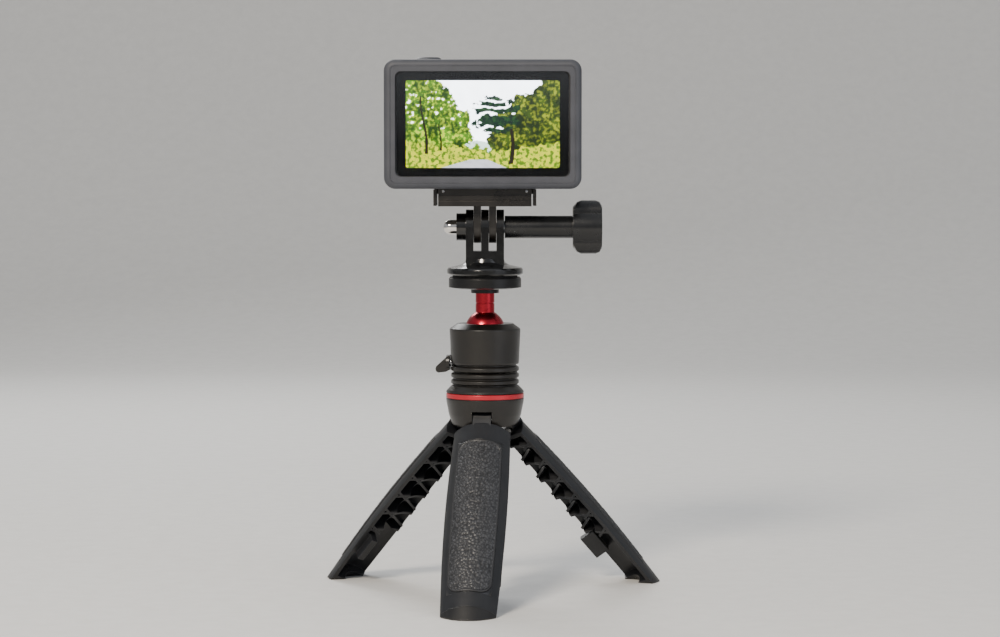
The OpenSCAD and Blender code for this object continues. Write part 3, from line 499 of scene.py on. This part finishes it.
def subdivide(points: list[tuple[float, float]], longest: float) -> list[float]:
    """Find where extra points go along an outline, so that its long runs can bend.

    Args:
        points: The closed outline.
        longest: Longest run left whole.

    Returns:
        Positions along the outline: the point's number plus the share of the way to the next.
    """
    cuts = []
    for i, (x, y) in enumerate(points):
        nx, ny = points[(i + 1) % len(points)]
        pieces = max(1, math.ceil(math.hypot(nx - x, ny - y) / longest))
        cuts.extend(i + k / pieces for k in range(pieces))
    return cuts


def along(points: list[tuple[float, float]], cuts: list[float]) -> list[tuple[float, float]]:
    """Sample an outline.

    Args:
        points: The closed outline.
        cuts: Positions from subdivide().

    Returns:
        One point for each position.
    """
    found = []
    for cut in cuts:
        i = int(cut)
        share = cut - i
        (x, y), (nx, ny) = points[i], points[(i + 1) % len(points)]
        found.append((x + (nx - x) * share, y + (ny - y) * share))
    return found


def make_piece(name: str, verts: list, faces: list, body: str, slot: str, wardrobe: Wardrobe,
               smooth: bool = True) -> bpy.types.Object:
    """Turn points in metres into a piece that rides on a body.

    Args:
        name: Piece name.
        verts: Points in the row frame, metres.
        faces: Vertex indices.
        body: Body it moves with.
        slot: Material slot it is dressed from.
        wardrobe: Where the material comes from.
        smooth: Whether to shade smooth.

    Returns:
        The piece.
    """
    mesh = bpy.data.meshes.new(name)
    mesh.from_pydata(verts, [], faces)
    mesh.validate()
    if smooth:
        mesh.shade_smooth()
    made = bpy.data.objects.new(name, mesh)
    bpy.context.collection.objects.link(made)
    wardrobe.dress(made, slot)
    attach(made, body)
    LOG.info("made %s: %d points, %d faces", name, len(verts), len(faces))
    return made


def bands(rings: int, count: int, closed: bool = False) -> list[tuple[int, int, int, int]]:
    """Join closed rings of points, one ring to the next.

    Args:
        rings: How many rings.
        count: Points in each ring.
        closed: Whether the last ring also joins the first.

    Returns:
        The quads.
    """
    quads = []
    for near in range(rings if closed else rings - 1):
        far = (near + 1) % rings
        quads += [(near * count + i, near * count + (i + 1) % count, far * count + (i + 1) % count, far * count + i)
                  for i in range(count)]
    return quads


# ---- Sub-assemblies ----

@dataclass
class SubAssembly:
    """Pieces that come off the bench together. The CAD shapes are final unless build() adds finer ones.

    Attributes:
        wardrobe: Source of the materials.
        nodes: The CAD nodes of the group.
    """

    wardrobe: Wardrobe
    nodes: tuple[str, ...] = ()

    def dress(self) -> None:
        """Put every CAD node of the group in the material its record entry names."""
        for node in self.nodes:
            self.wardrobe.dress(frame["nodes"][node], SLOTS[node])
            LOG.info("dressed %s in %s", node, SLOTS[node])

    def build(self) -> None:
        """Make the finer pieces, of which a plain group has none."""


@dataclass
class CameraBody(SubAssembly):
    """Housing halves with the lens, the front screen, the board and everything else inside."""

    nodes: tuple[str, ...] = (
        "front_housing", "rear_housing", "housing_screws", "front_screen", "lens_ring", "lens_window",
        "lens_barrel", "lens_elements", "sensor_module", "main_board", "heat_spreader", "battery", "speaker",
        "memory_card", "usb_socket", "shutter_button", "power_button")


@dataclass
class BatteryDoor(SubAssembly):
    """Side door with its seal, latch and hinge pin."""

    nodes: tuple[str, ...] = ("battery_door", "door_seal", "door_latch", "door_pin")


@dataclass
class QuickReleaseClip(SubAssembly):
    """Clip plate with its two claws, their pins and the magnets."""

    nodes: tuple[str, ...] = ("clip_plate", "clip_claw_left", "clip_claw_right", "claw_pins", "clip_magnets")


@dataclass
class FingerJoint(SubAssembly):
    """Three-finger adapter with its insert and nut, and the thumbscrew through it."""

    nodes: tuple[str, ...] = ("mount_adapter", "threaded_insert", "dome_nut", "thumbscrew_knob", "thumbscrew_bolt")


@dataclass
class BallHead(SubAssembly):
    """Ball, platform and stud, with the cup, its spring, the housing and the lock."""

    nodes: tuple[str, ...] = (
        "camera_platform", "platform_pad", "tripod_screw", "ball_stem", "ball_cup", "cup_spring", "ball_housing",
        "lock_lever", "lock_screw")


@dataclass
class MastAndHub(SubAssembly):
    """Sliding mast with its collar and bush, and the hub that carries the legs."""

    nodes: tuple[str, ...] = ("mast_tube", "mast_collar", "mast_bush", "red_ring", "leg_hub", "pivot_pins")


@dataclass(frozen=True)
class Leaves:
    """Linear colours of one mass of leaves in the picture.

    Attributes:
        bright: Leaves in the sun.
        half: Leaves between sun and shade.
        dark: The depth of the shade.
        cut: Speckle level above which a leaf is in the sun.
        depth: How much shade the mass has.
    """

    bright: tuple[float, float, float]
    half: tuple[float, float, float]
    dark: tuple[float, float, float]
    cut: float
    depth: float

    def colour(self, speckle: float, shade: float) -> Vector:
        """Colour of one spot.

        Args:
            speckle: Fine noise.
            shade: Broad noise.

        Returns:
            Linear colour.
        """
        lit = Vector(self.bright if speckle > self.cut else self.half)
        return lit.lerp(Vector(self.dark), clamp(self.depth - 0.9 * shade - 0.5 * speckle))


@dataclass
class Screen(SubAssembly):
    """The lit display, its printed border and the cover glass over them.

    Attributes:
        step: Width of one picture cell.
        seed: Where the foliage noise starts.
        aspect: Picture width over height.
        glow: Exponent that deepens the picture's colours.
        border_gap: Bare edge of the glass outside the print.
        border_corner: Outer corner radius of the print.
        border_lap: How far the print laps over the picture.
        picture_corner: Corner radius of the print's opening.
        print_near: Front of the print, behind the glass.
        print_far: Back of the print.
    """

    nodes: tuple[str, ...] = ("touchscreen_glass", "display_panel")
    step: float = 0.22
    seed: float = 7.3
    aspect: float = 1.76
    glow: float = 1.3
    border_gap: float = 0.1
    border_corner: float = 1.9
    border_lap: float = 0.15
    picture_corner: float = 0.8
    print_near: float = 0.02
    print_far: float = 0.07

    LEFT_TREES = Leaves((0.27, 0.34, 0.01), (0.08, 0.17, 0.01), (0.012, 0.035, 0.004), 0.1, 0.45)
    RIGHT_TREES = Leaves((0.17, 0.19, 0.01), (0.05, 0.08, 0.008), (0.01, 0.02, 0.004), 0.12, 0.55)
    SKY = (0.93, 0.96, 1.0)
    HILL = (0.16, 0.26, 0.18)
    PINE = ((0.004, 0.016, 0.012), (0.02, 0.06, 0.015))
    GRASS = ((0.36, 0.36, 0.01), (0.06, 0.12, 0.008))
    BARK = (0.014, 0.010, 0.006)
    TRUNKS = ((0.118, 0.82, 0.16, 0.008), (0.675, 0.45, 0.05, 0.011), (0.21, 0.5, 0.2, 0.005))
    ROAD_TOP = 0.10

    def scene_colour(self, u: float, v: float) -> tuple[float, float, float]:
        """Colour of the road picture.

        Args:
            u: Across, 0 left to 1 right.
            v: Up, 0 bottom to 1 top.

        Returns:
            Linear red, green and blue.
        """
        def wave(size: float, shift: float = 0.0, depth: int = 4) -> float:
            place = Vector((u * self.aspect * size + self.seed + shift, v * size, shift))
            return noise.fractal(place, 0.9, 2.1, depth)

        sky = Vector(self.SKY) * (1.05 - 0.12 * abs(wave(3.0, 2.0)))
        edge = 0.07 * wave(5.0, 5.0) + 0.035 * wave(14.0, 9.0)
        left = 0.33 + 0.16 * (1.0 - v) - 0.30 * max(0.0, v - 0.62) + edge
        right = 0.70 - 0.20 * (1.0 - v) + 0.55 * max(0.0, v - 0.68) + edge
        speckle, shade = wave(26.0, 1.0, 3), wave(7.0, 3.0)
        colour = sky.copy()
        if u < left:
            gap = speckle + 0.6 * shade > 0.62 and v > 0.45
            colour = sky if gap else self.LEFT_TREES.colour(speckle, shade)
        elif u > right:
            colour = self.RIGHT_TREES.colour(speckle, shade)
        hill = 0.30 + 0.035 * wave(6.0, 11.0) - 0.10 * abs(u - 0.5)
        if v < hill and colour == sky:
            colour = Vector(self.HILL).lerp(sky, 0.3)
        pine = ((u - 0.59) / 0.155) ** 2 + ((v - 0.60) / 0.245) ** 2 + 0.55 * wave(9.0, 4.0) + 0.35 * speckle
        layered = math.sin(v * 62.0 + 5.0 * wave(4.0, 6.0)) > -0.45
        if pine < 0.9 and layered:
            colour = Vector(self.PINE[0]).lerp(Vector(self.PINE[1]), clamp(speckle + 0.3))
        bush = 0.20 + 0.05 * wave(11.0, 8.0) + 0.20 * abs(u - 0.55)
        if v < bush:
            colour = Vector(self.GRASS[0]).lerp(Vector(self.GRASS[1]), clamp(0.5 - 1.6 * speckle))
        for trunk, top, low, width in self.TRUNKS:
            bend = trunk + 0.02 * math.sin(v * 6.0)
            if abs(u - bend) < width * (1.4 - v) and low < v < top:
                colour = Vector(self.BARK)
        road = self.ROAD_TOP - v
        if road > 0.0 and 0.42 - 2.0 * road < u < 0.53 + 1.3 * road:
            grey = 0.30 + 0.06 * wave(20.0, 12.0)
            colour = Vector((grey, grey, grey * 1.03))
        return colour[0] ** self.glow, colour[1] ** self.glow, colour[2] ** self.glow

    def build(self) -> None:
        """Make the lit panel and the printed border."""
        low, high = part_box("display_panel")
        wide, tall = (high[0] - low[0]) / MM, (high[2] - low[2]) / MM
        columns, rows = int(wide / self.step), int(tall / self.step)
        verts, colours = [], []
        for row in range(rows + 1):
            for column in range(columns + 1):
                u, v = column / columns, row / rows
                verts.append((low[0] + u * wide * MM, low[1], low[2] + v * tall * MM))
                colours.append((*self.scene_colour(u, v), 1.0))
        width = columns + 1
        faces = [(r * width + c, r * width + c + 1, (r + 1) * width + c + 1, (r + 1) * width + c)
                 for r in range(rows) for c in range(columns)]
        back = len(verts)
        rim = [*range(width), *((r + 1) * width - 1 for r in range(1, rows + 1)),
               *reversed(range(rows * width, rows * width + columns)), *(r * width for r in range(rows - 1, 0, -1))]
        for index in rim:
            x, _, z = verts[index]
            verts.append((x, high[1], z))
            colours.append((0.0, 0.0, 0.0, 1.0))
        count = len(rim)
        faces += [(rim[(i + 1) % count], rim[i], back + i, back + (i + 1) % count) for i in range(count)]
        faces.append(tuple(back + i for i in range(count)))
        panel = make_piece("display_picture", verts, faces, "camera", "display_stack", self.wardrobe, smooth=False)
        layer = panel.data.color_attributes.new("picture", "FLOAT_COLOR", "POINT")
        layer.data.foreach_set("color", [part for colour in colours for part in colour])
        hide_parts("display_panel")
        self.border(wide, tall)

    def border(self, wide: float, tall: float) -> None:
        """Make the black print behind the edge of the glass.

        Args:
            wide: Picture width.
            tall: Picture height.
        """
        low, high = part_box("touchscreen_glass")
        mid_x, mid_z = (low[0] + high[0]) / 2, (low[2] + high[2]) / 2
        half_w = (high[0] - low[0]) / 2 / MM - self.border_gap
        half_h = (high[2] - low[2]) / 2 / MM - self.border_gap
        outer = (half_w, half_h, self.border_corner)
        inner = (wide / 2 - self.border_lap, tall / 2 - self.border_lap, self.picture_corner)
        shapes = [(*outer, self.print_far), (*outer, self.print_near),
                  (*inner, self.print_near), (*inner, self.print_far)]
        verts = []
        for half_a, half_b, corner, depth in shapes:
            verts += [(mid_x + x * MM, high[1] + depth * MM, mid_z + z * MM)
                      for x, z in rounded_outline(half_a, half_b, corner)]
        faces = bands(len(shapes), len(verts) // len(shapes), closed=True)
        made = make_piece("screen_border", verts, faces, "camera", "display_stack", self.wardrobe, smooth=False)
        made.data.materials.clear()
        made.data.materials.append(Finish("black_border_print", "#040405", "#060607", 0.25, grain=Grain.POLISHED,
                                          grain_mm=2.0, relief_mm=0.001, smudge=0.03).material())


@dataclass
class Sleeve(SubAssembly):
    """The silicone sleeve, with the fine raised line round its rim where the rounding meets the face.

    Attributes:
        inset: How far inside the outer edge the line runs.
        width: Width of the line.
        height: How far it stands out.
        corner: Corner radius of the sleeve.
    """

    nodes: tuple[str, ...] = ("protective_sleeve",)
    inset: float = 2.5
    width: float = 0.55
    height: float = 0.16
    corner: float = 4.5

    def build(self) -> None:
        """Loft the line round the rim."""
        low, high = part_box("protective_sleeve")
        mid_x, mid_z = (low[0] + high[0]) / 2, (low[2] + high[2]) / 2
        half_w, half_h = (high[0] - low[0]) / 2 / MM, (high[2] - low[2]) / 2 / MM
        verts = []
        turns = [(-1.0, 0.04), (-0.7, -0.55), (-0.25, -0.95), (0.25, -0.95), (0.7, -0.55), (1.0, 0.04), (0.0, 0.5)]
        for across, out in turns:
            inward = self.inset + across * self.width / 2
            ring = rounded_outline(half_w - inward, half_h - inward, max(0.4, self.corner - inward))
            verts += [(mid_x + x * MM, low[1] + (0.02 + out * self.height) * MM, mid_z + z * MM) for x, z in ring]
        faces = bands(len(turns), len(verts) // len(turns), closed=True)
        make_piece("sleeve_bead", verts, faces, "camera", "sleeve_silicone", self.wardrobe)


@dataclass
class Leg(SubAssembly):
    """One leg with its foot and grip pad: a smooth rounded rim round a field of leather grain, in a moat.

    Attributes:
        side: Which leg, as the record names it.
        leg_r: Leg radius at its top.
        swell: How much the leg swells at its middle.
        half_sector_deg: Half the pad's arc.
        from_top: Where the pad starts, down the leg.
        from_foot: How far above the leg's end the pad stops.
        corner: Corner radius of the pad.
        step: Grain mesh size.
        grain: Width of one leather cell.
        crest: Height of the leather cells.
        rim: Width of the smooth rim round the leather.
        run: Longest straight run in the pad's outline.
        hinge: Place of the leg's hinge, set from its joint.
        spread: Turn from the folded leg to the spread one, set from its joint.
        heading: Which way the leg points, in radians, set from its joint.
        length: Length of the leg from hinge to ground, set from its joint.
    """

    side: str = "front"
    leg_r: float = 12.9
    swell: float = 1.5
    half_sector_deg: float = 40.36
    from_top: float = 12.0
    from_foot: float = 11.5
    corner: float = 5.8
    step: float = 0.27
    grain: float = 1.0
    crest: float = 0.3
    rim: float = 1.0
    run: float = 1.2
    hinge: Vector = field(init=False)
    spread: Matrix = field(init=False)
    heading: float = field(init=False)
    length: float = field(init=False)

    def __post_init__(self) -> None:
        """Name the leg's nodes and read its place from its joint."""
        self.nodes = (f"leg_{self.side}", f"grip_pad_{self.side}", f"foot_{self.side}")
        joint = next(j for j in frame["joints"] if j["name"] == f"leg_{self.side}_fold")
        self.hinge = Vector(joint["pos_m"]) / MM
        angle = math.radians(joint["range_deg"][1])
        axis = Vector(joint["axis"])
        self.spread = (Matrix.Translation(self.hinge) @ Matrix.Rotation(-angle, 4, axis)
                       @ Matrix.Translation(-self.hinge))
        self.heading = math.atan2(self.hinge.y, self.hinge.x)
        self.length = self.hinge.z / math.cos(angle)

    def radius(self, down: float) -> float:
        """Outer radius of the leg.

        Args:
            down: Distance below the hinge, along the leg.

        Returns:
            The radius.
        """
        share = down / self.length
        return self.leg_r + self.swell * math.sin(math.pi * share) - 0.5 * share ** 2

    def place(self, across: float, down: float, out: float) -> Vector:
        """Point on the leg's surface, in the row frame.

        Args:
            across: Arc length from the leg's middle line.
            down: Distance down the leg.
            out: Height above the leg's surface.

        Returns:
            The point, in metres.
        """
        radius = self.radius(down)
        turn = self.heading + across / self.mean_radius()
        folded = Vector(((radius + out) * math.cos(turn), (radius + out) * math.sin(turn), self.hinge.z - down))
        return (self.spread @ folded) * MM

    def mean_radius(self) -> float:
        """Radius that turns arc length into angle.

        Returns:
            The radius near the middle of the leg.
        """
        return self.leg_r + self.swell * 0.7

    def build(self) -> None:
        """Make the pad and the leg surface round it."""
        half_w = self.mean_radius() * math.radians(self.half_sector_deg)
        low, high = self.from_top, self.length - self.from_foot
        middle, half_h = (low + high) / 2, (high - low) / 2
        self.surround(half_w, half_h, middle)
        verts, faces = self.ring_strip(half_w, half_h, middle, self.corner, (
            (0.16, -0.5), (0.24, 0.05), (0.42, 0.28), (0.75, 0.33), (1.0, 0.24), (1.15, -0.1)))
        crests = [0.35] * len(verts)
        crests += self.leather(verts, faces, half_w - self.rim, half_h - self.rim, middle)
        pad = make_piece(f"grip_pad_{self.side}_soft", verts, faces, f"{self.side}_leg", "grip_rubber", self.wardrobe)
        # The crest colour attribute paints highlight on the crests and the rim, and shade in the gaps between cells.
        layer = pad.data.color_attributes.new("crest", "FLOAT_COLOR", "POINT")
        layer.data.foreach_set("color", [part for crest in crests for part in (crest, crest, crest, 1.0)])
        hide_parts(f"grip_pad_{self.side}")

    def ring_strip(self, half_w: float, half_h: float, middle: float, corner: float,
                   profile: tuple) -> tuple[list, list]:
        """Loft a profile round the pad's outline.

        Args:
            half_w: Half width of the outline.
            half_h: Half height of the outline.
            middle: Where its middle lies, down the leg.
            corner: Corner radius of the outline.
            profile: Pairs of inset and height.

        Returns:
            Points and faces.
        """
        cuts = subdivide(rounded_outline(half_w, half_h, corner), self.run)
        verts = []
        for inset, height in profile:
            ring = rounded_outline(half_w - inset, half_h - inset, max(0.3, corner - inset))
            verts += [self.place(x, middle - y, height) for x, y in along(ring, cuts)]
        return verts, bands(len(profile), len(cuts))

    def surround(self, half_w: float, half_h: float, middle: float) -> None:
        """Close the square corners of the leg's recess round the pad, down to the moat.

        Args:
            half_w: Half width of the pad's outline.
            half_h: Half height of the pad's outline.
            middle: Where its middle lies, down the leg.
        """
        inner, faces = self.ring_strip(half_w, half_h, middle, self.corner,
                                       ((-0.1, 0.03), (0.0, 0.02), (0.1, -0.12), (0.14, -0.5)))
        cuts = subdivide(rounded_outline(half_w, half_h, self.corner), self.run)
        count = len(cuts)
        square = along(rounded_outline(half_w + 0.25, half_h + 0.25, 0.05), cuts)
        verts = [self.place(x, middle - y, height) for height in (-0.3, 0.04) for x, y in square] + inner
        make_piece(f"pad_seat_{self.side}", verts, bands(6, count), f"{self.side}_leg", "leg_plastic", self.wardrobe)

    def leather(self, verts: list, faces: list, half_w: float, half_h: float, middle: float) -> list[float]:
        """Add the grained field to the pad's points and faces.

        Args:
            verts: The pad's points, added to.
            faces: The pad's faces, added to.
            half_w: Half width of the field.
            half_h: Half height of the field.
            middle: Where its middle lies, down the leg.

        Returns:
            How high each new point stands in its cell, 0 in the gaps and 1 on the crests; the material turns it into
            painted highlight on the crests and painted shade in the gaps.
        """
        columns, rows = int(2 * half_w / self.step), int(2 * half_h / self.step)
        start, width = len(verts), columns + 1
        bend = self.corner - self.rim
        inside, crests = [], []
        for row in range(rows + 1):
            for column in range(width):
                x = -half_w + 2 * half_w * column / columns
                y = -half_h + 2 * half_h * row / rows
                over = Vector((max(0.0, abs(x) - half_w + bend), max(0.0, abs(y) - half_h + bend)))
                inside.append(over.length <= bend + 0.05)
                warp = noise.noise(Vector((x * 0.5, y * 0.5, self.heading))) * 0.5
                spot = Vector((x / self.grain + warp, y / (self.grain * 1.25) - warp, self.heading * 9))
                near = noise.voronoi(spot)[0]
                gap = min(1.0, (near[1] - near[0]) * 2.6)
                crests.append(gap ** 0.8)
                verts.append(self.place(x, middle - y, 0.04 + self.crest * gap ** 0.6
                                        + 0.03 * noise.noise(spot * 3.0)))
        for row in range(rows):
            for column in range(columns):
                corners = (row * width + column, row * width + column + 1,
                           (row + 1) * width + column + 1, (row + 1) * width + column)
                if all(inside[c] for c in corners):
                    faces.append(tuple(start + c for c in corners))
        return crests


def assemblies(wardrobe: Wardrobe) -> list[SubAssembly]:
    """Every sub-assembly of the object, from the camera down to the feet.

    Args:
        wardrobe: Source of the materials.

    Returns:
        The sub-assemblies, which together hold every CAD node once.
    """
    return [CameraBody(wardrobe), BatteryDoor(wardrobe), Screen(wardrobe), Sleeve(wardrobe),
            QuickReleaseClip(wardrobe), FingerJoint(wardrobe), BallHead(wardrobe), MastAndHub(wardrobe),
            *(Leg(wardrobe, side=side) for side in ("front", "left", "right"))]


# ---- Studio ----

@dataclass
class Studio:
    """Pale floor that sweeps up behind, soft lights and the camera.

    Attributes:
        reach_m: Half width of the floor.
        eye_m: Camera place.
        pitch_deg: How far the camera looks down.
        lens_mm: Focal length on a 36 mm sensor.
    """

    reach_m: float = 3.0
    eye_m: tuple[float, float, float] = (0.006, -1.2, 0.177)
    pitch_deg: float = 3.2
    lens_mm: float = 108.0

    def floor(self) -> bpy.types.Object:
        """Build the sweep.

        Returns:
            The floor, which rides on no body.
        """
        profile = [(-self.reach_m, 0.0), (1.2, 0.0)]
        profile += [(1.2 + 0.8 * math.sin(a), 0.8 - 0.8 * math.cos(a))
                    for a in (math.radians(step * 6) for step in range(1, 16))]
        profile.append((2.0, 2.6))
        verts = [(x, y, z) for x in (-self.reach_m, self.reach_m) for y, z in profile]
        count = len(profile)
        faces = [(i, i + 1, count + i + 1, count + i) for i in range(count - 1)]
        mesh = bpy.data.meshes.new("studio_sweep")
        mesh.from_pydata(verts, [], faces)
        mesh.shade_smooth()
        made = bpy.data.objects.new("studio_sweep", mesh)
        bpy.context.collection.objects.link(made)
        mesh.materials.append(Finish("pale_paper_sweep", "#dddcd9", "#d8d7d4", 0.75, grain_mm=1.5,
                                     relief_mm=0.02).material())
        return made

    def light(self, name: str, place: tuple[float, float, float], aim: tuple[float, float, float],
              size_m: float, watts: float, tint: str) -> None:
        """Add one soft box.

        Args:
            name: The light's name.
            place: Where it hangs.
            aim: What it points at.
            size_m: Side of the box.
            watts: Power.
            tint: Colour of the light, sRGB hex.
        """
        lamp = bpy.data.lights.new(name, "AREA")
        lamp.shape = "SQUARE"
        lamp.size = size_m
        lamp.energy = watts
        lamp.color = linear(tint)[:3]
        shown = bpy.data.objects.new(name, lamp)
        bpy.context.collection.objects.link(shown)
        shown.location = place
        shown.rotation_euler = (Vector(aim) - Vector(place)).to_track_quat("-Z", "Y").to_euler()

    def sky(self, tree: bpy.types.NodeTree) -> None:
        """Light the room from a pale ceiling that darkens to the horizon.

        Args:
            tree: The world's node tree.
        """
        way = add_node(tree, "ShaderNodeTexCoord").outputs["Generated"]
        height = add_node(tree, "ShaderNodeSeparateXYZ", links={0: way}).outputs["Z"]
        ramp = add_node(tree, "ShaderNodeValToRGB", links={0: height})
        bands_up = ((0.0, "#050505"), (0.03, "#c4c7cc"), (0.3, "#b4b8be"), (1.0, "#eef1f5"))
        for _ in bands_up[2:]:
            ramp.color_ramp.elements.new(0.5)
        for element, (place, tint) in zip(ramp.color_ramp.elements, bands_up):
            element.position = place
            element.color = linear(tint)
        ground = tree.nodes["Background"]
        tree.links.new(ramp.outputs[0], ground.inputs["Color"])
        ground.inputs["Strength"].default_value = 0.8

    def build(self) -> None:
        """Set up the floor, the lights, the world and the camera."""
        self.floor()
        middle = (0.0, 0.0, 0.11)
        self.light("key", (-0.5, -1.15, 0.95), middle, 0.32, 24.0, "#fff3e2")
        self.light("fill", (1.0, -0.9, 0.5), middle, 0.8, 4.0, "#eef3ff")
        self.light("back", (-0.3, 0.95, 0.8), middle, 0.5, 7.0, "#ffffff")
        world = bpy.data.worlds.new("pale_room")
        world.use_nodes = True
        self.sky(world.node_tree)
        bpy.context.scene.world = world
        eye = bpy.data.cameras.new("eye")
        eye.lens = self.lens_mm
        eye.sensor_width = 36.0
        shown = bpy.data.objects.new("eye", eye)
        bpy.context.collection.objects.link(shown)
        shown.location = self.eye_m
        shown.rotation_euler = (math.radians(90.0 - self.pitch_deg), 0.0, 0.0)
        bpy.context.scene.camera = shown


def main() -> None:
    """Dress and build every sub-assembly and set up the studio."""
    logging.basicConfig(level=logging.INFO, format="%(name)s: %(message)s")
    groups = assemblies(Wardrobe())
    missed = set(frame["nodes"]) - {node for group in groups for node in group.nodes}
    if missed:
        raise ValueError(f"nodes in no sub-assembly: {sorted(missed)}")
    for group in groups:
        LOG.info("building %s", type(group).__name__)
        group.dress()
        group.build()
    Studio().build()


if __name__ == "__main__":
    main()
